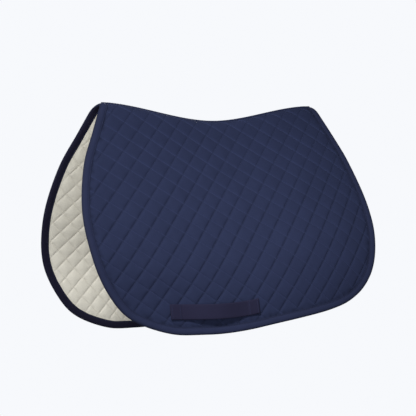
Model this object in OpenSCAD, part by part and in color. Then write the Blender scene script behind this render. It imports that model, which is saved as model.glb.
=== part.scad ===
// Contoured English saddle pad: two quilted halves sewn together along the spine,
// bound edges all round, and a webbing girth strap low on each flap.
// The pad hangs as it lies on a horse: +X to the rear, -Y the near (left) side, +Z up.
// The origin is under the lining at the lowest point of the spine.

/* [Spine] */
// Where the spine starts, ahead of its lowest point
spine_front = 256; // [230:1:280]
// Where the spine ends, behind its lowest point
spine_rear = 261; // [240:1:290]
// Rise of the spine at the withers
front_rise = 29; // [10:1:45]
// Rise of the spine at the rear end
rear_rise = 43; // [10:1:55]

/* [Drape] */
// Slope of the crest beside the spine, from vertical, in degrees
crest_angle = 85; // [70:1:88]
// Slope of the flap's upper part, from vertical, in degrees
flank_angle = 32; // [20:1:40]
// Slope of the flap's lower edge, from vertical, in degrees
hem_angle = 2; // [0:0.5:8]
// Radius of the bend over the horse's back
crest_radius = 30; // [20:1:50]
// Radius of the bend round the horse's barrel
barrel_radius = 260; // [150:10:400]
// Length of the straight slope between the two bends
flank_length = 283; // [220:1:320]
// Share of the slopes that is left at the front edge
front_spread = 0.59; // [0.5:0.01:1]

/* [Layers] */
// Thickness of the quilted outer cotton
cover_t = 1.2; // [0.8:0.1:2]
// Thickness of the wadding
padding_t = 6; // [4:0.5:10]
// Thickness of the lining cotton
lining_t = 1.2; // [0.8:0.1:2]
// Thickness of the whole pad where the binding pinches it
pinched_t = 5; // [4:0.1:7]
// Width of the binding on each face
binding_w = 15; // [12:0.5:22]
// Thickness of the binding tape
binding_t = 1.1; // [0.8:0.1:1.5]

/* [Quilting] */
// Climb of the first rows towards the rear on the near side, in degrees
near_climb = 52.1; // [40:0.1:60]
// Distance between these rows on the near side
near_pitch = 31.5; // [25:0.1:40]
// Distance between the rows that cross them on the near side
near_cross_pitch = 30.1; // [25:0.1:40]
// Climb of the first rows towards the rear on the off side, in degrees
off_climb = 45.8; // [40:0.1:60]
// Distance between these rows on the off side
off_pitch = 29.1; // [25:0.1:40]
// Distance between the rows that cross them on the off side
off_cross_pitch = 29.8; // [25:0.1:40]
// Width of a row of quilting thread
thread_w = 1; // [0.6:0.1:1.5]
// Height of the thread above the cloth
thread_h = 0.6; // [0.4:0.1:1]

/* [Girth strap] */
// Width of the webbing
strap_w = 31; // [25:1:50]
// Length of the webbing, from end to end
strap_length = 188; // [150:1:240]
// Length that is sewn down at each end
strap_sewn = 24; // [18:1:35]
// Thickness of the webbing
strap_t = 1.8; // [1.2:0.1:2.5]
// Room behind the middle of the webbing, for the girth
strap_bow = 9; // [7:0.5:15]
// Slope of the strap, rising to the rear, in degrees
strap_angle = 5.4; // [0:0.1:10]

/* [Hidden] */
pad_t = cover_t + padding_t + lining_t;

// Outline of one half in its flat cut: [distance behind the spine's lowest point,
// distance down the cloth from the spine], from the spine's front end round to its rear end.
outline = [
    [-261, 10.4], [-290, 78], [-323, 157], [-341, 260], [-330, 360], [-295, 432],
    [-247, 479], [-171, 501], [-89, 496], [38, 484], [173, 492], [234, 479],
    [274, 440], [298, 372], [311, 270], [303, 165], [288, 96], [263, 10.4]
];
seam_gap = outline[0][1];      // each half starts this far down from the spine
smoothing = 2;                 // edge points for each span of the outline
spans = len(outline) - 1;
columns = spans * smoothing;
// Rows of mesh points, as shares of the way from the spine to the binding
row_share = [0, 0.03, 0.075, 0.17, 0.42, 0.6, 0.74, 0.87, 1];
rows = len(row_share);
corner_room = 60;              // length of spine that the first and last column fan out over
hem_slack = 1.1;               // the binding crosses the spine at a slant, so it is longer there
ply_gap = 0.1;                 // clearance between the binding tape and what it is folded over
fold_gap = 0.4;                // clearance of the binding over the ridge at the spine's ends

near_centre = [-18, 244.6];    // a crossing of the near quilting, in the quilted cloth
off_centre = [-29, 237];       // and one of the off quilting

seam_half_w = 3;               // half the width of the sewn ridge on the spine
tape_half_w = 3;               // half the width of the tape under the ridge
ridge_h = 1.2;
tape_t = 1.4;
spine_steps = 24;
strap_centre = [-78.5, 450];
strap_lift = 1.4;              // clearance under the ends of the loop, over the quilting thread
loop_gap = 0.8;                // from the end of the loop to the sewn end
strap_steps = 8;

// Depths of the layer faces below the cloth's outer face, in the open and at the edge
face_depth = [0, cover_t, cover_t + padding_t, pad_t];
pinch = (pad_t - pinched_t) / 2;
edge_depth = [pinch, pinch + cover_t, pad_t - pinch - lining_t, pad_t - pinch];

navy = [0.19, 0.21, 0.32];
navy_tape = [0.16, 0.17, 0.27];
navy_thread = [0.24, 0.26, 0.38];
webbing = [0.13, 0.12, 0.18];
cream = [0.8, 0.78, 0.72];
wadding = [0.9, 0.9, 0.88];

// ---- small helpers ----
function unit(v) = v / norm(v);
function mix(a, b, t) = a * (1 - t) + b * t;
function ease(t) = let (c = max(0, min(1, t))) c * c * (3 - 2 * c);
function arc_length(r, degrees) = r * degrees * PI / 180;
function arc_degrees(r, length) = length / r * 180 / PI;

// ---- the drape: a flat point [x, s] of the near half to its place in space ----
function spine_z(x) =
    pad_t + (x < 0 ? front_rise * ease(-x / spine_front) : rear_rise * ease(x / (spine_rear + 14)));
function spread(x) = mix(front_spread, 1, ease((x + 330) / 580));

// Sideways and downward travel of the cloth at distance s from the spine
function fall(s, share) =
    let (
        flank = flank_angle * share,
        hem = hem_angle * share,
        crest = arc_length(crest_radius, crest_angle - flank),
        barrel = arc_length(barrel_radius, flank - hem),
        a = crest_angle - arc_degrees(crest_radius, min(s, crest)),
        b = max(0, min(s - crest, flank_length)),
        c = flank - arc_degrees(barrel_radius, max(0, min(s - crest - flank_length, barrel))),
        d = max(0, s - crest - flank_length - barrel)
    )
    [
        crest_radius * (cos(a) - cos(crest_angle)) + b * sin(flank)
            + barrel_radius * (cos(c) - cos(flank)) + d * sin(hem),
        crest_radius * (sin(crest_angle) - sin(a)) + b * cos(flank)
            + barrel_radius * (sin(flank) - sin(c)) + d * cos(hem)
    ];
function drape(p) = let (q = fall(p[1], spread(p[0]))) [p[0], -q[0], spine_z(p[0]) - q[1]];
function outward(p) =
    unit(cross(drape(p + [0, 1]) - drape(p - [0, 1]), drape(p + [1, 0]) - drape(p - [1, 0])));
function below(p, depth) = drape(p) - depth * outward(p);

// ---- the outline and the mesh that every layer shares ----
function outline_point(k) =
    k < 0 ? 2 * outline[0] - outline[1]
    : k > spans ? 2 * outline[spans] - outline[spans - 1]
    : outline[k];
function curve(k, t) =
    let (a = outline_point(k - 1), b = outline_point(k), c = outline_point(k + 1), d = outline_point(k + 2))
    0.5 * (2 * b + (c - a) * t + (2 * a - 5 * b + 4 * c - d) * t * t + (3 * b - a - 3 * c + d) * t * t * t);
edge = [
    for (k = [0:spans - 1]) for (m = [0:smoothing - 1]) curve(k, m / smoothing),
    outline[spans]
];
function inward(i) = let (t = unit(edge[i + 1] - edge[i - 1])) [t[1], -t[0]];
hem = [
    edge[0] + [binding_w * hem_slack, 0],
    for (i = [1:columns - 1]) edge[i] + binding_w * inward(i),
    edge[columns] - [binding_w * hem_slack, 0]
];
top_front = hem[0] + [corner_room, 0];
top_rear = hem[columns] - [corner_room, 0];
function flat_point(i, j) =
    j == rows ? edge[i] : mix(mix(top_front, top_rear, i / columns), hem[i], row_share[j]);
function depth(level, j) =
    j == rows ? edge_depth[level]
    : j == rows - 1 ? mix(face_depth[level], edge_depth[level], 0.5)
    : face_depth[level];

// Triangles of a grid of points, width points to a row, all seen from the same side
function grid_faces(start, count, width) = [
    for (i = [0:count - 1]) for (j = [0:width - 2])
        let (a = start + i * width + j, b = a + width)
        each [[a, b, b + 1], [a, b + 1, a + 1]]
];
function flipped(faces) = [for (f = faces) [f[0], f[2], f[1]]];

// Closed skin of a stack of two grids: the rim joins their four sides
module slab(upper, lower, count, width) {
    n = len(upper);
    rim = concat(
        [for (i = [0:count]) i * width],
        [for (j = [1:width - 1]) count * width + j],
        [for (i = [count - 1:-1:0]) i * width + width - 1],
        [for (j = [width - 2:-1:1]) j]
    );
    m = len(rim);
    polyhedron(
        concat(upper, lower),
        concat(
            grid_faces(0, count, width),
            flipped(grid_faces(n, count, width)),
            [for (k = [0:m - 1])
                let (a = rim[k], b = rim[(k + 1) % m])
                each [[a, b + n, b], [a, a + n, b + n]]]
        )
    );
}

// Solid swept through a list of closed rings with the same number of points; turned is
// the side whose triangles run the other way, to match those of the cloth it touches
module swept(rings, turned = -1) {
    n = len(rings[0]);
    last = len(rings) - 1;
    polyhedron(
        [for (r = rings) each r],
        concat(
            [for (i = [0:last - 1]) for (k = [0:n - 1])
                let (a = i * n + k, b = i * n + (k + 1) % n, c = a + n, d = b + n)
                each k == turned ? [[a, b, c], [b, d, c]] : [[a, d, c], [a, b, d]]],
            [[for (k = [n - 1:-1:0]) k], [for (k = [0:n - 1]) last * n + k]]
        )
    );
}

module other_side() { mirror([0, 1, 0]) children(); }

// ---- one half of the pad, drawn as the near one ----
module layer(level) {
    function face(l) = [
        for (i = [0:columns]) for (j = [0:rows]) below(flat_point(i, j), depth(l, j))
    ];
    slab(face(level), face(level + 1), columns, rows + 1);
}

// Points of the binding's section at edge point i, round the C from the edge's outer corner
function binding_ring(i) =
    let (
        top = depth(0, rows - 1) - ply_gap, bottom = depth(3, rows - 1) + ply_gap,
        upper = edge_depth[0] - ply_gap, lower = edge_depth[3] + ply_gap,
        away = unit(drape(edge[i]) - drape(hem[i])),
        fold = below(edge[i], pad_t / 2) + away * (binding_t + 1)
    )
    [
        below(edge[i], upper) + away * ply_gap, below(edge[i], lower) + away * ply_gap,
        below(hem[i], bottom), below(hem[i], bottom + binding_t),
        below(edge[i], lower + binding_t) + away * 0.3, fold,
        below(edge[i], upper - binding_t) + away * 0.3,
        below(hem[i], top - binding_t), below(hem[i], top)
    ];
module binding() { swept([for (i = [0:columns]) binding_ring(i)], turned = 1); }

// Row of thread lying on one leg of the binding; the leg runs from point a to point b of its ring
module binding_row(a, b, up) {
    swept([
        for (i = [0:columns])
            let (r = binding_ring(i), p = r[a], q = r[b], n = up * outward(hem[i]))
            up > 0 ? [mix(p, q, 0.16), mix(p, q, 0.13) + n * thread_h, mix(p, q, 0.1)]
            : [mix(p, q, 0.1), mix(p, q, 0.13) + n * thread_h, mix(p, q, 0.16)]
    ]);
}
module binding_rows() {
    binding_row(7, 6, 1);
    binding_row(3, 4, -1);
}

// ---- quilting: two sets of sewn rows that cross at right angles ----
// A point [u, t] of the cloth as it was quilted, level along the horse, to a flat point
// [x, s]; drawn is 1 where the cloth was drawn a little out of square as it was cut
function laid(q, drawn) =
    let (
        u = q[0], z = q[1] - 220,
        x = u - drawn * (0.219 * u * u + 0.18 * u * z - 0.098 * z * z) / 1000
    )
    [x, q[1] + drawn * 0.127 * u * z / 1000 + spine_z(x) - pad_t];

// True where a flat point lies inside the binding and below the spine seam
function crossings(p, k) =
    let (a = hem[k], b = hem[k + 1])
    (a[1] > p[1]) != (b[1] > p[1]) && p[0] < a[0] + (b[0] - a[0]) * (p[1] - a[1]) / (b[1] - a[1]) ? 1 : 0;
function total(v, i = 0) = i == len(v) ? 0 : v[i] + total(v, i + 1);
function inside(p) =
    p[1] > seam_gap + 1 && total([for (k = [0:columns - 1]) crossings(p, k)]) % 2 == 1;
// Last point inside on the way from p, inside, to q, outside
function clip(p, q, turns = 7) =
    turns == 0 ? p : let (m = (p + q) / 2) inside(m) ? clip(m, q, turns - 1) : clip(p, m, turns - 1);

function stitch_ring(p, side) =
    [below(p - side, cover_t * 0.7), below(p, -thread_h), below(p + side, cover_t * 0.7)];
module stitch_row(p, q) {
    way = unit(q - p);
    side = [way[1], -way[0]] * thread_w / 2;
    swept([stitch_ring(p, side), stitch_ring(q, side)]);
}
module quilting(climb, pitch, cross_pitch, centre, drawn) {
    along = cross_pitch * [cos(climb), -sin(climb)];
    across = pitch * [sin(climb), cos(climb)];
    reach = 14;
    for (m = [-reach:reach]) for (n = [-reach:reach]) for (way = [along, across]) {
        p = laid(centre + m * along + n * across, drawn);
        q = laid(centre + m * along + n * across + way, drawn);
        start = mix(p, q, 0.03);
        end = mix(p, q, 0.97);
        if (inside(start) && inside(end)) stitch_row(start, end);
        else if (inside(start) && norm(clip(start, end) - start) > 3) stitch_row(start, clip(start, end));
        else if (inside(end) && norm(clip(end, start) - end) > 3) stitch_row(clip(end, start), end);
    }
}

// ---- girth strap ----
function strap_point(l, w) =
    strap_centre + l * [cos(strap_angle), -sin(strap_angle)] + w * [sin(strap_angle), cos(strap_angle)];
function strap_ring(l, lift, t) = [
    below(strap_point(l, -strap_w / 2), -lift), below(strap_point(l, strap_w / 2), -lift),
    below(strap_point(l, strap_w / 2), -lift - t), below(strap_point(l, -strap_w / 2), -lift - t)
];
loop_half = strap_length / 2 - strap_sewn - loop_gap;
function loop_lift(l) = strap_lift + strap_bow * pow(1 - pow(l / loop_half, 2), 2);
module loop() {
    swept([
        for (k = [0:strap_steps])
            let (l = mix(-loop_half, loop_half, k / strap_steps)) strap_ring(l, loop_lift(l), strap_t)
    ]);
}
// The webbing is turned under where it is sewn down, so it is two thicknesses there
module sewn_end(way) {
    inner = way * (strap_length / 2 - strap_sewn);
    outer = way * strap_length / 2;
    swept([for (k = [0:2]) strap_ring(mix(min(inner, outer), max(inner, outer), k / 2), 0, 2 * strap_t)]);
}
module strap_rows() {
    foot = 2 * strap_t + ply_gap;
    for (way = [-1, 1]) for (inset = [3.5, strap_sewn - 3.5]) {
        l = way * (strap_length / 2 - inset);
        swept([
            for (w = [-strap_w / 2 + 3, strap_w / 2 - 3])
                [
                    below(strap_point(l - thread_w / 2, w), -foot),
                    below(strap_point(l, w), -foot - thread_h),
                    below(strap_point(l + thread_w / 2, w), -foot)
                ]
        ]);
    }
}

// ---- pieces on the spine ----
// Sweeps a section of [y, height over the spine] points along the spine from x0 to x1
module along_spine(x0, x1, steps, section) {
    swept([
        for (k = [0:steps])
            let (x = mix(x0, x1, k / steps)) [for (p = section) [x, p[0], spine_z(x) + p[1]]]
    ]);
}
module seam_ridge() {
    h = seam_half_w;
    along_spine(-spine_front, spine_rear, spine_steps, [
        [-h, -0.5], [-h + 1, ridge_h], [h - 1, ridge_h], [h, -0.5], [h, -pad_t], [-h, -pad_t]
    ]);
}
module seam_tape() {
    h = tape_half_w;
    top = -pad_t - ply_gap;
    along_spine(-spine_front + binding_w, spine_rear - binding_w, spine_steps, [
        [-h, top], [h, top], [h, top - tape_t], [-h, top - tape_t]
    ]);
}
module seam_rows() {
    foot = ridge_h + ply_gap;
    for (y = [-1.4, 1.4])
        along_spine(-spine_front + binding_w, spine_rear - binding_w, spine_steps, [
            [y - thread_w / 2, foot], [y, foot + thread_h], [y + thread_w / 2, foot]
        ]);
}
// Binding folded over one end of the spine; way is -1 at the front and 1 at the rear
module end_binding(way) {
    x_end = way < 0 ? -spine_front : spine_rear;
    x_in = x_end - way * binding_w;
    x_fold = x_end + way * ply_gap;
    x_out = x_end + way * binding_t;
    h = seam_half_w;
    top = ridge_h + fold_gap;
    bottom = -pad_t - fold_gap;
    x0 = min(x_in, x_fold);
    x1 = max(x_in, x_fold);
    along_spine(x0, x1, 2, [[-h, top], [-h, top + binding_t], [h, top + binding_t], [h, top]]);
    along_spine(x0, x1, 2, [[-h, bottom - binding_t], [-h, bottom], [h, bottom], [h, bottom - binding_t]]);
    along_spine(min(x_fold, x_out), max(x_fold, x_out), 1, [
        [-h, bottom - binding_t], [-h, top + binding_t], [h, top + binding_t], [h, bottom - binding_t]
    ]);
}

// ---- sub-parts ----
module spine_seam() { color(navy) seam_ridge(); }
module spine_tape() { color(cream) seam_tape(); }
module spine_stitching() { color(navy_thread) seam_rows(); }
module front_spine_binding() { color(navy_tape) end_binding(-1); }
module rear_spine_binding() { color(navy_tape) end_binding(1); }

module near_outer_cover() { color(navy) layer(0); }
module near_padding() { color(wadding) layer(1); }
module near_lining() { color(cream) layer(2); }
module near_edge_binding() { color(navy_tape) binding(); }
module near_binding_stitching() { color(navy_thread) binding_rows(); }
module near_quilting_thread() {
    color(navy_thread) quilting(near_climb, near_pitch, near_cross_pitch, near_centre, drawn = 1);
}
module near_strap_front_end() { color(webbing) sewn_end(-1); }
module near_girth_loop() { color(webbing) loop(); }
module near_strap_rear_end() { color(webbing) sewn_end(1); }
module near_strap_stitching() { color(navy_thread) strap_rows(); }

// The off half has its own quilting, seen from outside as a lattice that climbs the same way
module off_outer_cover() { color(navy) other_side() layer(0); }
module off_padding() { color(wadding) other_side() layer(1); }
module off_lining() { color(cream) other_side() layer(2); }
module off_edge_binding() { color(navy_tape) other_side() binding(); }
module off_binding_stitching() { color(navy_thread) other_side() binding_rows(); }
module off_quilting_thread() {
    color(navy_thread)
        other_side() quilting(off_climb, off_pitch, off_cross_pitch, off_centre, drawn = 0);
}
module off_strap_front_end() { color(webbing) other_side() sewn_end(-1); }
module off_girth_loop() { color(webbing) other_side() loop(); }
module off_strap_rear_end() { color(webbing) other_side() sewn_end(1); }
module off_strap_stitching() { color(navy_thread) other_side() strap_rows(); }

spine_seam();
spine_tape();
spine_stitching();
front_spine_binding();
rear_spine_binding();
near_outer_cover();
near_padding();
near_lining();
near_edge_binding();
near_binding_stitching();
near_quilting_thread();
near_strap_front_end();
near_girth_loop();
near_strap_rear_end();
near_strap_stitching();
off_outer_cover();
off_padding();
off_lining();
off_edge_binding();
off_binding_stitching();
off_quilting_thread();
off_strap_front_end();
off_girth_loop();
off_strap_rear_end();
off_strap_stitching();
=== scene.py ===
"""Looks of a contoured quilted saddle pad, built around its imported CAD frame.

The pad hangs as it lies on a horse: +X to the rear, -Y the near (left) side, +Z up.
Every half is described in its flat cut by x, the distance behind the spine's lowest
point, and s, the distance down the cloth from the spine. drape() hangs that cloth.
"""
import math
import bmesh
import bpy
import numpy as np
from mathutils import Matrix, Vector
from mathutils.bvhtree import BVHTree


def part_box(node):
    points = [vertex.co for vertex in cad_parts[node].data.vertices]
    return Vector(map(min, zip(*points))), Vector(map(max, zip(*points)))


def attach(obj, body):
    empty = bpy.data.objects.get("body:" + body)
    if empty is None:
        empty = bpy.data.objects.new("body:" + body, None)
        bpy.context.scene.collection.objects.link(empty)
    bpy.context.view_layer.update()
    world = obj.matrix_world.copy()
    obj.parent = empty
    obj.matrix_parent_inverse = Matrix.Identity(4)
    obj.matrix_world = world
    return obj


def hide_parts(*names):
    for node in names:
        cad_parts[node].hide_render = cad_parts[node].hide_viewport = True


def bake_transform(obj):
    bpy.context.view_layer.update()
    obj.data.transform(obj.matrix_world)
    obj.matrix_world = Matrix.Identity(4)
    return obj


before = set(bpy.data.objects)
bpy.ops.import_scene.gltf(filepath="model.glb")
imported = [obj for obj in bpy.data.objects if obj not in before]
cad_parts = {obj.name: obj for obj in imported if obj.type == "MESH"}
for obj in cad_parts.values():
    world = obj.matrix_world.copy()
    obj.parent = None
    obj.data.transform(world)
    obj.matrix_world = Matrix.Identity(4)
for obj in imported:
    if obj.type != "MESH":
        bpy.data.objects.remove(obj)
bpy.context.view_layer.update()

# ---- driving dimensions, in metres and radians ----
SPINE_LO, SPINE_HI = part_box("spine_seam")
SPINE_FRONT = -SPINE_LO.x
SPINE_REAR = SPINE_HI.x
FRONT_RISE = 0.029
REAR_RISE = 0.043
REAR_EASE = SPINE_REAR + 0.014
CREST_SLOPE = math.radians(85)
FLANK_SLOPE = math.radians(32)
HEM_SLOPE = math.radians(2)
CREST_RADIUS = 0.030
BARREL_RADIUS = 0.260
FLANK_LENGTH = 0.283
FRONT_SPREAD = 0.59
SPREAD_FROM, SPREAD_OVER = -0.330, 0.580
OUTLINE = [
    (-0.2565, 0.0), (-0.290, 0.078), (-0.323, 0.157), (-0.341, 0.260), (-0.330, 0.360),
    (-0.295, 0.432), (-0.247, 0.479), (-0.171, 0.501), (-0.089, 0.496), (0.038, 0.484),
    (0.173, 0.492), (0.234, 0.479), (0.274, 0.440), (0.298, 0.372), (0.311, 0.270),
    (0.303, 0.165), (0.288, 0.096), (0.261, 0.0),
]
OUTLINE_STEPS = 14          # points on each span of the outline

PAD_T = 0.0084              # whole thickness in the open
CLOTH_T = 0.0011            # outer cotton or lining
GROOVE = 0.0021             # depth of the quilting on the outside
PILLOW_FLATNESS = 7.0       # a higher power gives flatter pillows and narrower grooves
FALLING_ROWS = 1.0          # depth of the falling rows as a share of the climbing ones
LINING_GROOVE = 0.0014      # depth of the quilting on the lining
EDGE_PINCH = 0.0017         # how deep the binding holds each face at the very edge
BINDING_W = 0.015
BINDING_T = 0.0010
FOLD_OUT = 0.0019           # how far the fold of the binding stands beyond the cloth

QUILT_CLIMB = {"near": math.radians(52.1), "off": math.radians(45.8)}
QUILT_PITCH = {"near": 0.0315, "off": 0.0291}         # between the rows that climb to the rear
QUILT_CROSS_PITCH = {"near": 0.0301, "off": 0.0298}   # between the rows that cross them
QUILT_CENTRE = {"near": np.array([-0.018, 0.2446]), "off": np.array([-0.029, 0.237])}
QUILT_DRAWN = {"near": 1.0, "off": 0.0}               # how far the cloth was drawn out of square
PULL_BACK = (0.219, 0.18, -0.098)   # bow, skew and fall of the drawing, per metre
PULL_DOWN = 0.127
PULL_FROM = 0.22                    # depth down the cloth where it isn't skewed
QUILT_LINES = (0, 0.045, 0.13, 0.35, 0.65, 0.87, 0.955)  # mesh lines across one quilted square

STRAP_CENTRE = np.array([-0.0785, 0.450])
STRAP_ANGLE = math.radians(5.4)
STRAP_LENGTH = 0.188
STRAP_W = 0.031
STRAP_T = 0.0018
STRAP_SEWN = 0.024
STRAP_BOW = 0.009
STRAP_LIFT = 0.0014

SEAM_HALF_W = 0.003
RIDGE_H = 0.0012
TAPE_HALF_W = 0.003
TAPE_T = 0.0014
SPINE_STRIP = 0.014         # the cloths stay whole this near the spine
SPINE_END_GAP = 0.003       # and stop this far short of its ends

SIDES = {"near": -1.0, "off": 1.0}

PALE = (0.93, 0.945, 0.975)  # colour of the floor, the backdrop and the weak light around
AMBIENT = 0.18
KEY_POWER = 620
FILL_POWER = 52
BACK_POWER = 130
FLOOR_Z = -1.25
VIEW_DISTANCE = 3.4
VIEW_WIDTH = 0.8944          # width of the view at the target

STITCH_PITCH = 0.0036
STITCH_LENGTH = 0.0030
THREAD_RADIUS = 0.0004
ROWS_EACH_WAY = 15           # sewn rows on either side of the quilting's middle
CLOTH_FRAMES = 20            # length of the cloth simulation
PILLOW_PRESSURE = 2.5
MOST_SWELL = 0.0014          # how far a pillow may swell beyond its drawn shape


# ---- small helpers ----
def ease(t):
    t = np.clip(t, 0, 1)
    return t * t * (3 - 2 * t)


def mix(a, b, t):
    return a * (1 - t) + b * t


def unit(v):
    return v / np.linalg.norm(v, axis=-1, keepdims=True)


# ---- the drape ----
def spine_z(x):
    rise = np.where(x < 0, FRONT_RISE * ease(-x / SPINE_FRONT), REAR_RISE * ease(x / REAR_EASE))
    return PAD_T + rise


def drape(p):
    """Places flat points (n, 2) of the near half in space, on the outer face."""
    x, s = p[:, 0], p[:, 1]
    share = mix(FRONT_SPREAD, 1.0, ease((x - SPREAD_FROM) / SPREAD_OVER))
    flank, hem = FLANK_SLOPE * share, HEM_SLOPE * share
    crest = CREST_RADIUS * (CREST_SLOPE - flank)
    barrel = BARREL_RADIUS * (flank - hem)
    a = CREST_SLOPE - np.minimum(s, crest) / CREST_RADIUS
    b = np.clip(s - crest, 0, FLANK_LENGTH)
    c = flank - np.clip(s - crest - FLANK_LENGTH, 0, barrel) / BARREL_RADIUS
    d = np.maximum(0, s - crest - FLANK_LENGTH - barrel)
    out = (CREST_RADIUS * (np.cos(a) - math.cos(CREST_SLOPE)) + b * np.sin(flank)
           + BARREL_RADIUS * (np.cos(c) - np.cos(flank)) + d * np.sin(hem))
    down = (CREST_RADIUS * (math.sin(CREST_SLOPE) - np.sin(a)) + b * np.cos(flank)
            + BARREL_RADIUS * (np.sin(flank) - np.sin(c)) + d * np.cos(hem))
    return np.stack([x, -out, spine_z(x) - down], axis=1)


def outward(p):
    """Outward directions of the near half at flat points (n, 2)."""
    h = 0.0005
    ds = drape(p + [0, h]) - drape(p - [0, h])
    dx = drape(p + [h, 0]) - drape(p - [h, 0])
    return unit(np.cross(ds, dx))


def place(side, p, depth):
    """Flat points at a depth under the outer face, on the near or the off half."""
    p = np.asarray(p, float).reshape(-1, 2)
    q = drape(p) - outward(p) * np.reshape(depth, (-1, 1))
    q[:, 1] = np.minimum(q[:, 1], 0) * -SIDES[side]
    return q


def facing(side, p):
    n = outward(np.asarray(p, float).reshape(-1, 2))
    n[:, 1] *= -SIDES[side]
    return n


# ---- the outline of one half ----
def smooth_path(points, steps):
    """Catmull-Rom curve through the points."""
    p = np.array(points)
    p = np.vstack([2 * p[0] - p[1], p, 2 * p[-1] - p[-2]])
    out = []
    for k in range(1, len(p) - 2):
        a, b, c, d = p[k - 1:k + 3]
        for t in np.arange(steps) / steps:
            out.append(0.5 * (2 * b + (c - a) * t + (2 * a - 5 * b + 4 * c - d) * t ** 2
                              + (3 * b - a - 3 * c + d) * t ** 3))
    out.append(p[-2])
    return np.array(out)


EDGE = smooth_path(OUTLINE, OUTLINE_STEPS)
EDGE_WAY = unit(np.gradient(EDGE, axis=0))
EDGE_IN = np.stack([EDGE_WAY[:, 1], -EDGE_WAY[:, 0]], axis=1)


def edge_distance(p):
    """Distance of flat points inside the outline, negative outside."""
    a, b = EDGE[:-1], EDGE[1:]
    best = np.full(len(p), 1e9)
    inside = np.zeros(len(p), bool)
    for u, v in zip(a, b):
        w = v - u
        t = np.clip(((p - u) @ w) / (w @ w), 0, 1)
        best = np.minimum(best, np.linalg.norm(p - u - t[:, None] * w, axis=1))
        if u[1] != v[1]:
            hit = (u[1] > p[:, 1]) != (v[1] > p[:, 1])
            inside ^= hit & (p[:, 0] < u[0] + w[0] * (p[:, 1] - u[1]) / w[1])
    return np.where(inside, best, -best)


# ---- objects ----
def make_object(name, verts, faces, materials, smooth=True, uv=None):
    mesh = bpy.data.meshes.new(name)
    mesh.from_pydata([tuple(v) for v in verts], [], [tuple(f) for f in faces])
    for m in materials:
        mesh.materials.append(m)
    if smooth:
        mesh.polygons.foreach_set("use_smooth", [True] * len(mesh.polygons))
    if uv is not None:
        layer = mesh.uv_layers.new(name="cloth")
        loops = np.zeros(len(mesh.loops), int)
        mesh.loops.foreach_get("vertex_index", loops)
        layer.data.foreach_set("uv", np.asarray(uv)[loops].ravel())
    mesh.update()
    obj = bpy.data.objects.new(name, mesh)
    bpy.context.scene.collection.objects.link(obj)
    return obj


def coordinates(obj):
    co = np.zeros(len(obj.data.vertices) * 3)
    obj.data.vertices.foreach_get("co", co)
    return co.reshape(-1, 3)


def bake_modifiers(obj):
    """Turns an object's modifiers into plain mesh."""
    evaluated = obj.evaluated_get(bpy.context.evaluated_depsgraph_get())
    mesh = bpy.data.meshes.new_from_object(evaluated)
    old = obj.data
    obj.modifiers.clear()
    obj.data = mesh
    bpy.data.meshes.remove(old)
    mesh.name = obj.name


def swept(name, rings, materials, uv=None, closed=False):
    """Closed tube through rings of the same number of points, with flat caps."""
    count, n = rings.shape[:2]
    faces = []
    for i in range(count if closed else count - 1):
        j = (i + 1) % count
        for k in range(n):
            m = (k + 1) % n
            faces.append((i * n + k, i * n + m, j * n + m, j * n + k))
    if not closed:
        faces.append(tuple(range(n))[::-1])
        faces.append(tuple((count - 1) * n + k for k in range(n)))
    obj = make_object(name, rings.reshape(-1, 3), faces, materials, uv=uv)
    turn_outwards(obj)
    return obj


def turn_outwards(obj):
    bm = bmesh.new()
    bm.from_mesh(obj.data)
    bmesh.ops.recalc_face_normals(bm, faces=bm.faces)
    bm.to_mesh(obj.data)
    bm.free()


# ---- materials ----
def new_material(name):
    material = bpy.data.materials.new(name)
    material.use_nodes = True
    return material, material.node_tree.nodes, material.node_tree.links


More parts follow.
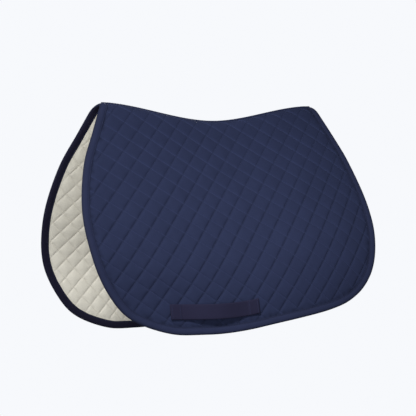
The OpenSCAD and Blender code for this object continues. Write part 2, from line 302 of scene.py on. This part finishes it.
def cotton(name, colour, thread=0.0009, weave_depth=0.25, mottling=0.06, sheen=0.05,
           roughness=0.9, painted_groove_light=0.0, ribs=None):
    """Woven cloth: a fine twill on the cloth's own flat coordinates, slow colour variation,
    and painted light along the sewn rows from a groove attribute on the mesh: painted shade where it
    is above 0, painted highlight where it is below 0."""
    material, nodes, links = new_material(name)
    shader = nodes["Principled BSDF"]
    shader.inputs["Roughness"].default_value = roughness
    shader.inputs["Sheen Weight"].default_value = sheen
    shader.inputs["Sheen Roughness"].default_value = 0.4
    shader.inputs["Sheen Tint"].default_value = (*[min(1, c * 3 + 0.25) for c in colour], 1)
    shader.inputs["Specular IOR Level"].default_value = 0.12

    def node(kind, **settings):
        made = nodes.new(kind)
        for key, value in settings.items():
            setattr(made, key, value)
        return made

    def math_node(operation, a, b=None):
        made = node("ShaderNodeMath", operation=operation)
        for socket, value in zip(made.inputs, (a, b)):
            if value is None:
                continue
            if isinstance(value, (int, float)):
                socket.default_value = value
            else:
                links.new(value, socket)
        return made.outputs[0]

    uv = node("ShaderNodeUVMap", uv_map="cloth")
    split = node("ShaderNodeSeparateXYZ")
    links.new(uv.outputs[0], split.inputs[0])
    across, along = split.outputs[0], split.outputs[1]
    turn = 2 * math.pi / thread
    if ribs:
        warp = math_node("SINE", math_node("MULTIPLY", across, 2 * math.pi / ribs))
        weft = math_node("SINE", math_node("MULTIPLY", along, turn))
    else:
        warp = math_node("SINE", math_node("MULTIPLY", math_node("ADD", across, along), turn))
        crossing = math_node("SUBTRACT", along, across)
        weft = math_node("SINE", math_node("MULTIPLY", crossing, turn * 2))
    weave = math_node("ADD", math_node("MULTIPLY", warp, 0.7), math_node("MULTIPLY", weft, 0.3))
    position = node("ShaderNodeTexCoord")
    slubs = node("ShaderNodeTexNoise")
    slubs.inputs["Scale"].default_value = 900
    slubs.inputs["Detail"].default_value = 2
    links.new(position.outputs["Object"], slubs.inputs["Vector"])
    cloud = node("ShaderNodeTexNoise")
    cloud.inputs["Scale"].default_value = 22
    cloud.inputs["Detail"].default_value = 4
    links.new(position.outputs["Object"], cloud.inputs["Vector"])
    height = math_node("ADD", weave, math_node("MULTIPLY", slubs.outputs["Fac"], 1.2))
    bump = node("ShaderNodeBump")
    bump.inputs["Strength"].default_value = weave_depth
    bump.inputs["Distance"].default_value = 0.0003
    links.new(height, bump.inputs["Height"])
    links.new(bump.outputs[0], shader.inputs["Normal"])
    patches = math_node("MULTIPLY", math_node("SUBTRACT", cloud.outputs["Fac"], 0.5), mottling * 4)
    flecks = math_node("MULTIPLY", math_node("SUBTRACT", slubs.outputs["Fac"], 0.5), 0.3)
    tone = math_node("ADD", patches, math_node("MULTIPLY", weave, 0.05))
    tone = math_node("ADD", tone, flecks)
    tone = math_node("ADD", tone, 1.0)
    # painted shade along the sewn rows where the groove attribute is above 0, painted highlight
    # where it is below 0
    if painted_groove_light:
        groove = node("ShaderNodeAttribute", attribute_name="groove")
        shade = math_node("MULTIPLY", groove.outputs["Fac"], painted_groove_light)
        tone = math_node("MULTIPLY", tone, math_node("SUBTRACT", 1.0, shade))
    scale = node("ShaderNodeVectorMath", operation="SCALE")
    scale.inputs[0].default_value = colour
    links.new(tone, scale.inputs["Scale"])
    links.new(scale.outputs[0], shader.inputs["Base Color"])
    return material


NAVY = (0.0240, 0.0320, 0.0780)
NAVY_COTTON = cotton("navy quilted cotton", NAVY, painted_groove_light=0.24)
CREAM_COTTON = cotton("cream lining cotton", (0.87, 0.84, 0.745), mottling=0.02,
                      painted_groove_light=0.08)
WADDING = cotton("white wadding", (0.80, 0.80, 0.78), thread=0.003, weave_depth=0.6,
                 mottling=0.03)
NAVY_BINDING = cotton("navy binding tape", (0.0240, 0.0310, 0.0765), thread=0.0011, roughness=0.7,
                      painted_groove_light=0.28)
# A darker copy of the binding tape for its inner faces: painted shade.
SHADE_PAINTED_BINDING = cotton("navy binding tape inside with painted shade", (0.0110, 0.0105, 0.0270), thread=0.0011,
                      roughness=0.8)
NAVY_THREAD = cotton("navy thread", (0.038, 0.050, 0.118), thread=0.0006, sheen=0.1, roughness=0.55)
CREAM_THREAD = cotton("cream thread", (0.76, 0.73, 0.64), thread=0.0006, sheen=0.3, roughness=0.6)
CREAM_TAPE = cotton("cream seam tape", (0.74, 0.71, 0.62), thread=0.0012, weave_depth=0.4)
WEBBING = cotton("dark strap webbing", (0.0205, 0.0200, 0.0500), thread=0.0008, ribs=0.0016,
                 weave_depth=0.5, roughness=0.75, sheen=0.1)


# ---- camera and light, first ----
def look_from(azimuth, elevation, distance, target):
    a, e = math.radians(azimuth), math.radians(elevation)
    back = Vector((math.sin(a) * math.cos(e), -math.cos(a) * math.cos(e), math.sin(e)))
    data = bpy.data.cameras.new("camera")
    camera = bpy.data.objects.new("camera", data)
    bpy.context.scene.collection.objects.link(camera)
    camera.location = Vector(target) + back * distance
    camera.rotation_euler = (-back).to_track_quat("-Z", "Y").to_euler()
    bpy.context.scene.camera = camera
    return camera


camera = look_from(-30, -1.24, VIEW_DISTANCE, (0, 0, -0.1786))
camera.data.sensor_width = 36
camera.data.lens = 36 * VIEW_DISTANCE / VIEW_WIDTH
camera.data.clip_end = 100


def aim(name, data, position, target):
    """Puts a light in place, pointing at its target."""
    light = bpy.data.objects.new(name, data)
    bpy.context.scene.collection.objects.link(light)
    light.location = position
    way = Vector(target) - Vector(position)
    light.rotation_euler = way.to_track_quat("-Z", "Y").to_euler()


def area_light(name, position, target, size, power):
    data = bpy.data.lights.new(name, "AREA")
    data.shape = "SQUARE"
    data.size = size
    data.energy = power
    aim(name, data, position, target)


def spot_light(name, position, target, radius, angle, power):
    data = bpy.data.lights.new(name, "SPOT")
    data.energy = power
    data.shadow_soft_size = radius
    data.spot_size = angle
    data.spot_blend = 1.0
    aim(name, data, position, target)


def glowing(name, colour, own_light):
    """Pale matt material with some light of its own, so that it stays pale out of the key light."""
    material, nodes, _ = new_material(name)
    shader = nodes["Principled BSDF"]
    shader.inputs["Base Color"].default_value = (*[c * (1 - own_light) for c in colour], 1)
    shader.inputs["Roughness"].default_value = 1.0
    shader.inputs["Specular IOR Level"].default_value = 0.0
    shader.inputs["Emission Color"].default_value = (*colour, 1)
    shader.inputs["Emission Strength"].default_value = own_light
    return material


def studio():
    """Pale backdrop and floor; a big soft key from the front left and above, weak light around."""
    scene = bpy.context.scene
    scene.view_settings.view_transform = "Standard"
    world = bpy.data.worlds.new("studio")
    world.use_nodes = True
    world.node_tree.nodes["Background"].inputs[0].default_value = (*PALE, 1)
    world.node_tree.nodes["Background"].inputs[1].default_value = AMBIENT
    scene.world = world
    centre = (0, 0, -0.2)
    spot_light("key", (-2.25, -2.1, 2.45), (-0.08, -0.12, -0.28), 0.45, math.radians(22.5),
               KEY_POWER)
    area_light("fill", (-2.6, -3.4, -0.5), centre, 1.8, FILL_POWER)
    area_light("back", (1.6, 3.4, 0.9), centre, 2.0, BACK_POWER)
    bpy.ops.mesh.primitive_circle_add(vertices=96, radius=4.5, fill_type="NGON",
                                      location=(0, 0, FLOOR_Z))
    floor = bpy.context.object
    floor.name = "studio_floor"
    floor.data.materials.append(glowing("pale floor", PALE, 0.8))
    bpy.ops.mesh.primitive_uv_sphere_add(segments=48, ring_count=24, radius=40)
    backdrop = bpy.context.object
    backdrop.name = "studio_backdrop"
    backdrop.data.materials.append(glowing("pale backdrop", PALE, 1.0))
    backdrop.visible_shadow = False
    for thing in (floor, backdrop):
        for ray in ("diffuse", "glossy", "transmission", "volume_scatter"):
            setattr(thing, "visible_" + ray, False)


studio()


# ---- quilted cloths ----
def pull_back(side, u, z):
    bow, skew, fall = PULL_BACK
    return QUILT_DRAWN[side] * (bow * u * u + skew * u * z + fall * z * z)


def pull_down(side, u, z):
    return QUILT_DRAWN[side] * PULL_DOWN * u * z


def laid(side, q):
    """Points of the cloth as it was quilted, level along the horse, to flat points."""
    u, t = q[..., 0], q[..., 1]
    z = t - PULL_FROM
    x = u - pull_back(side, u, z)
    return np.stack([x, t + pull_down(side, u, z) + spine_z(x) - PAD_T], axis=-1)


def unlaid(side, p):
    """The way back from flat points to the cloth as it was quilted."""
    x, level = p[..., 0], p[..., 1] - spine_z(p[..., 0]) + PAD_T
    u, t = x, level
    for _ in range(8):
        z = t - PULL_FROM
        u = x + pull_back(side, u, z)
        t = level - pull_down(side, u, z)
    return np.stack([u, t], axis=-1)


def quilt_axes(side):
    """Steps from crossing to crossing, along the climbing rows and along the falling ones."""
    a = QUILT_CLIMB[side]
    along = QUILT_CROSS_PITCH[side] * np.array([math.cos(a), -math.sin(a)])
    across = QUILT_PITCH[side] * np.array([math.sin(a), math.cos(a)])
    return along, across


def quilt_uv(side, p):
    """Lattice coordinates of flat points: whole numbers lie on sewn rows."""
    along, across = quilt_axes(side)
    q = unlaid(side, p) - QUILT_CENTRE[side]
    return q @ along / (along @ along), q @ across / (across @ across)


def quilt_point(side, i, j):
    """Flat point at lattice coordinates i and j."""
    along, across = quilt_axes(side)
    return laid(side, QUILT_CENTRE[side] + i[..., None] * along + j[..., None] * across)


def drawn_in(p):
    """How hard the climbing rows pull the cloth in: little near the spine, fully low on the flap."""
    return ease((p[:, 1] - 0.10) / 0.20)


def relief(side, p, distance):
    """0 on a climbing row, under the binding and at the spine seam, 1 on top of a pillow."""
    pillow = 1.0
    for t, deep in zip(quilt_uv(side, p), (FALLING_ROWS, mix(0.6, 1.0, drawn_in(p)))):
        pillow = pillow * (1 - deep * np.abs(2 * (t - np.floor(t)) - 1) ** PILLOW_FLATNESS)
    near_edge = ease((distance - BINDING_W) / 0.007)
    near_spine = ease((p[:, 1] - 0.001) / 0.008)
    return pillow ** 0.8 * near_edge * near_spine


def painted_row_shade_and_highlight(side, p, distance, inner):
    """Painted light for the cloth's colour. Above 0 is painted shade, in climbing rows and along the
    binding, where cloth folds in;
    below 0 is painted highlight, in the falling rows of the cover, strongest near the spine. On the
    lining every row gets painted shade."""
    falling, climbing = [np.abs(2 * (t - np.floor(t)) - 1) ** 16 for t in quilt_uv(side, p)]
    low = drawn_in(p)
    falling_painted_light = 1.0 if inner else mix(-2.4, -1.0, low)
    rows = mix(0.5, 1.5, low) * climbing + falling_painted_light * (1 - climbing) * falling
    # painted shade where the binding's inner edge stands over the cloth
    beside_binding = np.clip(1 - np.abs(distance - BINDING_W - 0.0008) / 0.003, 0, 1)
    return mix(rows, 1.8, beside_binding)


def sewn_down(side, p, distance):
    """True on the sewn rows, under the binding and at the spine seam."""
    u, v = [np.abs(t - np.round(t)) for t in quilt_uv(side, p)]
    return (np.minimum(u, v) < 0.01) | (distance < BINDING_W) | (p[:, 1] < 0.002)


def face_depth(side, p, distance, groove):
    """Depth of a cloth's face under its plain face."""
    under_binding = np.clip(1 - distance / BINDING_W, 0, 1)
    open_depth = groove * (1 - relief(side, p, distance))
    return mix(open_depth, EDGE_PINCH, under_binding)


def flat_lattice(side, lines, margin):
    """Flat mesh of one half whose lines follow the sewn rows, cut straight at the spine."""
    ij = (np.arange(-ROWS_EACH_WAY, ROWS_EACH_WAY)[:, None] + np.array(lines)).ravel()
    i, j = np.meshgrid(ij, ij, indexing="ij")
    size = len(ij)
    flat = quilt_point(side, i, j).reshape(-1, 2)
    beside_spine = ((np.abs(flat[:, 1]) < SPINE_STRIP) & (flat[:, 0] > EDGE[0][0] + SPINE_END_GAP)
                    & (flat[:, 0] < EDGE[-1][0] - SPINE_END_GAP))
    keep = ((edge_distance(flat) > margin) | beside_spine).reshape(size, size)
    full = keep[:-1, :-1] & keep[1:, :-1] & keep[1:, 1:] & keep[:-1, 1:]
    a, b = np.nonzero(full)
    first, next_row = a * size + b, (a + 1) * size + b
    faces = np.stack([first, next_row, next_row + 1, first + 1], axis=1)
    used = np.unique(faces)
    number = np.full(size * size, -1)
    number[used] = np.arange(len(used))
    mesh = bpy.data.meshes.new("flat")
    mesh.from_pydata([(x, s, 0) for x, s in flat[used]], [], number[faces].tolist())
    bm = bmesh.new()
    bm.from_mesh(mesh)
    geometry = bm.verts[:] + bm.edges[:] + bm.faces[:]
    bmesh.ops.bisect_plane(bm, geom=geometry, plane_co=(0, 0, 0), plane_no=(0, -1, 0),
                           clear_outer=True, dist=1e-6)
    bmesh.ops.remove_doubles(bm, verts=bm.verts, dist=0.0004)
    loose = [v for v in bm.verts if not v.link_faces]
    bmesh.ops.delete(bm, geom=loose, context="VERTS")
    bm.verts.index_update()
    points = np.array([v.co[:2] for v in bm.verts])
    polygons = [[v.index for v in f.verts] for f in bm.faces]
    bm.free()
    bpy.data.meshes.remove(mesh)
    return points, polygons


def settle(obj, sewn, way, free):
    """Fills the pillows by cloth simulation: the sewn points stay, the rest swells outwards along
    way, by the most allowed times the share free."""
    start = coordinates(obj)
    group = obj.vertex_groups.new(name="sewn")
    group.add([int(k) for k in np.nonzero(sewn)[0]], 1.0, "REPLACE")
    cloth = obj.modifiers.new("cloth", "CLOTH")
    s = cloth.settings
    s.quality = 5
    s.mass = 0.25
    s.tension_stiffness = 12
    s.compression_stiffness = 12
    s.shear_stiffness = 6
    s.bending_stiffness = 0.15
    s.air_damping = 2
    s.shrink_min = -0.012
    s.use_pressure = True
    s.uniform_pressure_force = PILLOW_PRESSURE
    s.vertex_group_mass = "sewn"
    s.effector_weights.gravity = 0
    cloth.collision_settings.use_collision = False
    scene = bpy.context.scene
    cloth.point_cache.frame_start = 1
    cloth.point_cache.frame_end = CLOTH_FRAMES
    for f in range(1, CLOTH_FRAMES + 1):
        scene.frame_set(f)
    evaluated = obj.evaluated_get(bpy.context.evaluated_depsgraph_get())
    end = np.zeros(len(start) * 3)
    evaluated.data.vertices.foreach_get("co", end)
    swell = np.sum((end.reshape(-1, 3) - start) * way, axis=1)
    swell = np.clip(swell, 0, MOST_SWELL) * free
    obj.modifiers.clear()
    obj.vertex_groups.clear()
    obj.data.vertices.foreach_set("co", (start + swell[:, None] * way).ravel())
    obj.data.update()
    scene.frame_set(1)


def quilted_cloth(name, side, inner, material):
    """One quilted cloth of a half: the navy cover, or the lining with inner set."""
    flat, polygons = flat_lattice(side, QUILT_LINES, 0.001)
    distance = edge_distance(flat)
    if inner:
        depth = PAD_T - face_depth(side, flat, distance, LINING_GROOVE)
    else:
        depth = face_depth(side, flat, distance, GROOVE)
    verts = place(side, flat, depth)
    if (SIDES[side] > 0) == inner:
        polygons = [f[::-1] for f in polygons]
    obj = make_object(name, verts, polygons, [material], uv=flat)
    way = facing(side, flat) * (-1 if inner else 1)
    free = ease((distance - BINDING_W) / 0.010)
    settle(obj, sewn_down(side, flat, distance), way, free)
    # the groove attribute carries the painted shade and painted highlight of the sewn rows
    attribute = obj.data.attributes.new("groove", "FLOAT", "POINT")
    attribute.data.foreach_set("value", painted_row_shade_and_highlight(side, flat, distance, inner))
    thickness = obj.modifiers.new("thickness", "SOLIDIFY")
    thickness.thickness = CLOTH_T
    thickness.offset = -1
    smooth = obj.modifiers.new("smooth", "SUBSURF")
    smooth.levels = 1
    smooth.render_levels = 1
    smooth.boundary_smooth = "PRESERVE_CORNERS"
    bake_modifiers(obj)
    return obj


def wadding(name, side):
    """The wadding between the cloths, pinched by every sewn row."""
    flat, polygons = flat_lattice(side, (0, 0.1, 0.3, 0.5, 0.7, 0.9), 0.003)
    distance = edge_distance(flat)
    sunk = CLOTH_T + 0.0007 + 0.0004 * (1 - ease(flat[:, 1] / 0.02))
    upper = place(side, flat, face_depth(side, flat, distance, GROOVE) + sunk)
    lower = place(side, flat, PAD_T - sunk - face_depth(side, flat, distance, LINING_GROOVE))
    n = len(flat)
    edges = {}
    for f in polygons:
        for a, b in zip(f, f[1:] + f[:1]):
            edges[(a, b)] = True
    rim = [(a, b) for a, b in edges if (b, a) not in edges]
    faces = [list(f) for f in polygons] + [[k + n for k in f[::-1]] for f in polygons]
    faces += [[b, a, a + n, b + n] for a, b in rim]
    obj = make_object(name, np.vstack([upper, lower]), faces, [WADDING], uv=np.vstack([flat, flat]))
    turn_outwards(obj)
    return obj


# ---- sewing ----
def stitch_tree(name, material):
    """Geometry Nodes tree that lays one small spindle of thread for each stitch along the curves."""
    tree = bpy.data.node_groups.new(name, "GeometryNodeTree")
    sockets = {}
    tree.interface.new_socket("Geometry", in_out="INPUT", socket_type="NodeSocketGeometry")
    sizes = (("Stitch pitch", STITCH_PITCH), ("Stitch length", STITCH_LENGTH),
             ("Thread radius", THREAD_RADIUS))
    for label, value in sizes:
        item = tree.interface.new_socket(label, in_out="INPUT", socket_type="NodeSocketFloat")
        item.default_value = value
        sockets[label] = item.identifier
    tree.interface.new_socket("Geometry", in_out="OUTPUT", socket_type="NodeSocketGeometry")
    nodes, links = tree.nodes, tree.links
    start, end = nodes.new("NodeGroupInput"), nodes.new("NodeGroupOutput")
    to_curve = nodes.new("GeometryNodeMeshToCurve")
    resample = nodes.new("GeometryNodeResampleCurve")
    resample.mode = "LENGTH"
    ball = nodes.new("GeometryNodeMeshIcoSphere")
    ball.inputs["Radius"].default_value = 0.5
    ball.inputs["Subdivisions"].default_value = 1
    tangent = nodes.new("GeometryNodeInputTangent")
    turn = nodes.new("FunctionNodeAlignRotationToVector")
    turn.axis = "X"
    put = nodes.new("GeometryNodeInstanceOnPoints")
    size = nodes.new("ShaderNodeCombineXYZ")
    double = nodes.new("ShaderNodeMath")
    double.operation = "MULTIPLY"
    double.inputs[1].default_value = 2
    realize = nodes.new("GeometryNodeRealizeInstances")
    paint = nodes.new("GeometryNodeSetMaterial")
    paint.inputs["Material"].default_value = material
    smooth = nodes.new("GeometryNodeSetShadeSmooth")
    links.new(start.outputs["Geometry"], to_curve.inputs[0])
    links.new(to_curve.outputs[0], resample.inputs["Curve"])
    links.new(start.outputs["Stitch pitch"], resample.inputs["Length"])
    links.new(resample.outputs[0], put.inputs["Points"])
    links.new(ball.outputs["Mesh"], put.inputs["Instance"])
    links.new(tangent.outputs[0], turn.inputs["Vector"])
    links.new(turn.outputs[0], put.inputs["Rotation"])
    links.new(start.outputs["Stitch length"], size.inputs["X"])
    links.new(start.outputs["Thread radius"], double.inputs[0])
    links.new(double.outputs[0], size.inputs["Y"])
    links.new(double.outputs[0], size.inputs["Z"])
    links.new(size.outputs[0], put.inputs["Scale"])
    links.new(put.outputs[0], realize.inputs[0])
    links.new(realize.outputs[0], smooth.inputs[0])
    links.new(smooth.outputs[0], paint.inputs[0])
    links.new(paint.outputs[0], end.inputs[0])
    return tree, sockets


TREES = {}


def stitches(name, paths, material, pitch=STITCH_PITCH, length=STITCH_LENGTH):
    """Rows of stitches along 3-D paths."""
    if material.name not in TREES:
        TREES[material.name] = stitch_tree("stitches in " + material.name, material)
    tree, sockets = TREES[material.name]
    verts, edges = [], []
    for path in paths:
        base = len(verts)
        verts += [tuple(p) for p in path]
        edges += [(base + k, base + k + 1) for k in range(len(path) - 1)]
    mesh = bpy.data.meshes.new(name)
    mesh.from_pydata(verts, edges, [])
    obj = bpy.data.objects.new(name, mesh)
    bpy.context.scene.collection.objects.link(obj)
    modifier = obj.modifiers.new("stitches", "NODES")
    modifier.node_group = tree
    sizes = (("Stitch pitch", pitch), ("Stitch length", length),
             ("Thread radius", THREAD_RADIUS))
    for label, value in sizes:
        modifier[sockets[label]] = value
    bake_modifiers(obj)
    return obj


def surface_of(obj):
    corners = [v.co for v in obj.data.vertices]
    return BVHTree.FromPolygons(corners, [p.vertices for p in obj.data.polygons])


def on_surface(tree, side, flat, inner, lift):
    """Points on a finished cloth under or over flat points, lifted by a share of the thread."""
    start = place(side, flat, PAD_T + 0.02 if inner else -0.02)
    way = facing(side, flat) * (1 if inner else -1)
    out = []
    for p, d in zip(start, way):
        hit = tree.ray_cast(Vector(p), Vector(d), 0.05)
        if hit[0] is not None:
            out.append(np.array(hit[0]) - d * lift)
    return np.array(out)


def quilt_rows(side):
    """Flat paths of the sewn rows, from binding to binding."""
    rows = []
    t = np.arange(-ROWS_EACH_WAY, ROWS_EACH_WAY, 0.125)
    for swap in (False, True):
        for k in range(-ROWS_EACH_WAY, ROWS_EACH_WAY + 1):
            here = np.full(len(t), float(k))
            p = quilt_point(side, here, t) if swap else quilt_point(side, t, here)
            open_cloth = (edge_distance(p) > BINDING_W - 0.001) & (p[:, 1] > 0.005)
            if open_cloth.sum() > 3:
                rows.append(p[open_cloth])
    return rows


# ---- binding ----
def binding_section(hem_depth, edge_depth):
    """Outer face of the binding's section, as (distance in from the edge, depth) points."""
    w, t = BINDING_W, BINDING_T
    return [
        (w, hem_depth - 0.1 * t), (w - 0.0004, hem_depth - 0.9 * t), (w - 0.0014, hem_depth - t),
        (w - 0.0026, hem_depth - 0.75 * t), (w - 0.0040, hem_depth - 1.2 * t),
        (0.009, hem_depth - 1.75 * t), (0.005, mix(edge_depth, hem_depth, 0.3) - 1.7 * t),
        (0.0020, edge_depth - 1.35 * t), (0.0002, edge_depth - 0.6 * t),
    ]


def binding(name, side):
    """Tape folded over the edge of a half, from the spine's front end round to its rear end."""
    count = len(EDGE)
    rings = []
    hem_depth, edge_depth = 0.0019, EDGE_PINCH
    section = np.array(binding_section(hem_depth, edge_depth))
    mirror = section[::-1].copy()
    mirror[:, 1] = PAD_T - mirror[:, 1]
    fold_r = PAD_T / 2 - edge_depth + 0.2 * BINDING_T
    fold = np.array([(-FOLD_OUT * math.sin(a), PAD_T / 2 - fold_r * math.cos(a))
                     for a in np.linspace(0.35, math.pi - 0.35, 7)])
    skin = np.vstack([section, fold, mirror])
    inside = np.array([(BINDING_W - 0.0002, PAD_T - hem_depth), (0.0006, PAD_T - edge_depth),
                       (0.0006, edge_depth), (BINDING_W - 0.0002, hem_depth)])
    loop = np.vstack([skin, inside])
    pucker = np.zeros(len(loop))
    pucker[3:7] = 1
    pucker[len(skin) - 7:len(skin) - 3] = 1
    arc = np.concatenate([[0], np.cumsum(np.linalg.norm(np.diff(EDGE, axis=0), axis=1))])
    round_section = np.cumsum(np.linalg.norm(np.diff(loop, axis=0, prepend=loop[:1]), axis=1))
    uv = []
    for i in range(count):
        wave = 0.00016 * (math.sin(arc[i] / 0.0052) + 0.7 * math.sin(arc[i] / 0.0087 + 1.3))
        flat = EDGE[i] + loop[:, :1] * EDGE_IN[i]
        if i in (0, count - 1):
            end_x = EDGE[i][0] + loop[:, 0] / abs(EDGE_WAY[i][1]) * (1 if i == 0 else -1)
            flat = np.stack([end_x, np.zeros(len(loop))], axis=1)
        flat[:, 1] = np.maximum(flat[:, 1], 0)
        depth = loop[:, 1] + pucker * wave * np.sign(loop[:, 1] - PAD_T / 2)
        rings.append(place(side, flat, depth))
        uv.append(np.stack([np.full(len(loop), arc[i]), round_section], axis=1))
    obj = swept(name, np.array(rings), [NAVY_BINDING, SHADE_PAINTED_BINDING],
                uv=np.array(uv).reshape(-1, 2))
    # The inner faces of the tape take the darker copy: painted shade.
    inner_from, inner_to = len(section) + len(fold) - 3, len(skin)
    for face in obj.data.polygons[:(count - 1) * len(loop)]:
        face.material_index = int(inner_from <= face.index % len(loop) < inner_to)
    # painted shade beside the stitches at the binding's inner edge and on the fold itself
    seam_shade = ease((loop[:, 0] - BINDING_W + 0.0045) / 0.002)
    fold_shade = ease((0.0035 - loop[:, 0]) / 0.004)
    attribute = obj.data.attributes.new("groove", "FLOAT", "POINT")
    attribute.data.foreach_set("value", np.tile(np.maximum(seam_shade, fold_shade), count))
    smooth = obj.modifiers.new("smooth", "SUBSURF")
    smooth.levels = 1
    smooth.render_levels = 1
    bake_modifiers(obj)
    return obj


# ---- girth strap ----
def strap_flat(l, w):
    """Flat points of the strap, l along it and w across it from its middle."""
    c, s = math.cos(STRAP_ANGLE), math.sin(STRAP_ANGLE)
    return np.stack([STRAP_CENTRE[0] + l * c + w * s, STRAP_CENTRE[1] - l * s + w * c], axis=1)


def strap_height(l):
    """Height of the webbing's underside over the cloth, at a distance l from its middle."""
    free = STRAP_LENGTH / 2 - STRAP_SEWN
    bow = STRAP_BOW * np.maximum(0, 1 - (l / free) ** 2) ** 2
    return bow + STRAP_LIFT * ease((free + 0.004 - np.abs(l)) / 0.008)


def strap(name, side):
    """The girth strap: webbing sewn down at both ends, with its middle bowed clear of the cloth."""
    lengths = np.linspace(-STRAP_LENGTH / 2, STRAP_LENGTH / 2, 99)
    widths = np.linspace(-STRAP_W / 2, STRAP_W / 2, 19)
    top, bottom, uv = [], [], []
    free = STRAP_LENGTH / 2 - STRAP_SEWN
    for l in lengths:
        low = strap_height(np.array([l]))[0]
        thick = STRAP_T * (1 + 0.9 * ease((abs(l) - free) / 0.002))
        rounding = 0.35 * STRAP_T * (np.abs(widths) / (STRAP_W / 2)) ** 8
        flat = strap_flat(np.full(len(widths), l), widths)
        top.append(place(side, flat, -(low + thick - rounding)))
        bottom.append(place(side, flat, -(low + rounding * 0.5)))
        uv.append(np.stack([np.full(len(widths), l), widths], axis=1))
    top, bottom = np.array(top), np.array(bottom)[:, ::-1]
    rings = np.concatenate([top, bottom], axis=1)
    uv = np.array(uv)
    uv = np.concatenate([uv, uv[:, ::-1]], axis=1)
    return swept(name, rings, [WEBBING], uv=uv.reshape(-1, 2))


def strap_rows(side):
    """Two cross rows on each sewn end."""
    rows = []
    top = 1.9 * STRAP_T + 0.0002
    for way in (-1, 1):
        for inset in (0.0035, STRAP_SEWN - 0.0035):
            w = np.linspace(-STRAP_W / 2 + 0.003, STRAP_W / 2 - 0.003, 12)
            l = np.full(len(w), way * (STRAP_LENGTH / 2 - inset))
            rows.append(place(side, strap_flat(l, w), -top))
    return rows


# ---- spine ----
def spine_rings(section, x0, x1, steps):
    """A section carried along the spine's curve from x0 to x1."""
    rings, uv = [], []
    for x in np.linspace(x0, x1, steps):
        z = float(spine_z(np.array([x]))[0])
        rings.append([(x, y, z + h) for y, h in section])
        uv.append([(x, k * 0.002) for k in range(len(section))])
    return np.array(rings), np.array(uv).reshape(-1, 2)


def rounded_bar(half_w, low, high, corners=5):
    """Section with round upper corners, as (y, height) points."""
    r = min(half_w, high - low) * 0.55
    points = [(-half_w, low), (-half_w, high - r)]
    for a in np.linspace(0.2, math.pi / 2, corners):
        points.append((-half_w + r - r * math.cos(a), high - r + r * math.sin(a)))
    for a in np.linspace(0, math.pi / 2 - 0.2, corners):
        points.append((half_w - r + r * math.sin(a), high - r + r * math.cos(a)))
    points += [(half_w, high - r), (half_w, low)]
    return points


# ---- build the halves ----
for side in SIDES:
    flap = f"{side}_flap"
    cover = quilted_cloth(f"{side}_quilted_cover", side, False, NAVY_COTTON)
    lining = quilted_cloth(f"{side}_quilted_lining", side, True, CREAM_COTTON)
    filling = wadding(f"{side}_wadding", side)
    band = binding(f"{side}_binding_tape", side)
    webbing = strap(f"{side}_girth_strap", side)
    cover_tree, lining_tree, band_tree = surface_of(cover), surface_of(lining), surface_of(band)
    rows = quilt_rows(side)
    outer_rows = [on_surface(cover_tree, side, r, False, 0.0001) for r in rows]
    inner_rows = [on_surface(lining_tree, side, r, True, 0.0001) for r in rows]
    quilting = stitches(f"{side}_quilting_stitches", outer_rows, NAVY_THREAD)
    lining_quilting = stitches(f"{side}_lining_stitches", inner_rows, CREAM_THREAD)
    hem_row = EDGE[2:-2] + EDGE_IN[2:-2] * (BINDING_W - 0.0027)
    band_rows = [on_surface(band_tree, side, hem_row, inner, 0.00005) for inner in (False, True)]
    band_stitches = stitches(f"{side}_binding_stitches", band_rows, NAVY_THREAD)
    strap_stitches = stitches(f"{side}_strap_stitches", strap_rows(side), NAVY_THREAD,
                              pitch=0.0030, length=0.0026)

    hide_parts(f"{side}_outer_cover")
    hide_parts(f"{side}_lining")
    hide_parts(f"{side}_padding")
    spine_end = "front_spine_binding" if side == "near" else "rear_spine_binding"
    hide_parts(f"{side}_edge_binding", spine_end)
    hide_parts(f"{side}_quilting_thread")
    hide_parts(f"{side}_binding_stitching")
    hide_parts(f"{side}_strap_front_end", f"{side}_girth_loop",
                f"{side}_strap_rear_end")
    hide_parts(f"{side}_strap_stitching")
    for piece in (cover, lining, filling, band, quilting, lining_quilting, band_stitches):
        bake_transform(piece)
    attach(strap_stitches, flap)
    middle = strap_flat(np.zeros(1), np.zeros(1))
    foot = place(side, middle, -0.0038)[0]
    crown = place(side, middle, -(STRAP_BOW + STRAP_LIFT))[0]
    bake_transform(webbing)

# ---- build the spine ----
ridge_rings, ridge_uv = spine_rings(rounded_bar(SEAM_HALF_W, -PAD_T * 0.9, RIDGE_H * 0.6),
                                    -SPINE_FRONT + 0.001, SPINE_REAR - 0.001, 120)
ridge = swept("spine_seam_ridge", ridge_rings, [NAVY_COTTON], uv=ridge_uv)
tape_section = [(-TAPE_HALF_W, -PAD_T), (TAPE_HALF_W, -PAD_T),
                (TAPE_HALF_W, -PAD_T - TAPE_T), (-TAPE_HALF_W, -PAD_T - TAPE_T)]
tape_rings, tape_uv = spine_rings(tape_section, -SPINE_FRONT + BINDING_W,
                                  SPINE_REAR - BINDING_W, 120)
tape = swept("spine_seam_tape", tape_rings, [CREAM_TAPE], uv=tape_uv)
seam_x = np.linspace(-SPINE_FRONT + BINDING_W, SPINE_REAR - BINDING_W, 160)
seam_z = spine_z(seam_x) + RIDGE_H * 0.6
seam_rows = [np.stack([seam_x, np.full(len(seam_x), y), seam_z], axis=1)
             for y in (-0.0016, 0.0016)]
seam_stitches = stitches("spine_seam_stitches", seam_rows, NAVY_THREAD)
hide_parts("spine_seam")
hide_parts("spine_tape")
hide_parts("spine_stitching")
for piece, slot in ((ridge, "navy_cotton"), (tape, "cream_tape"), (seam_stitches, "navy_thread")):
    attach(piece, "spine")
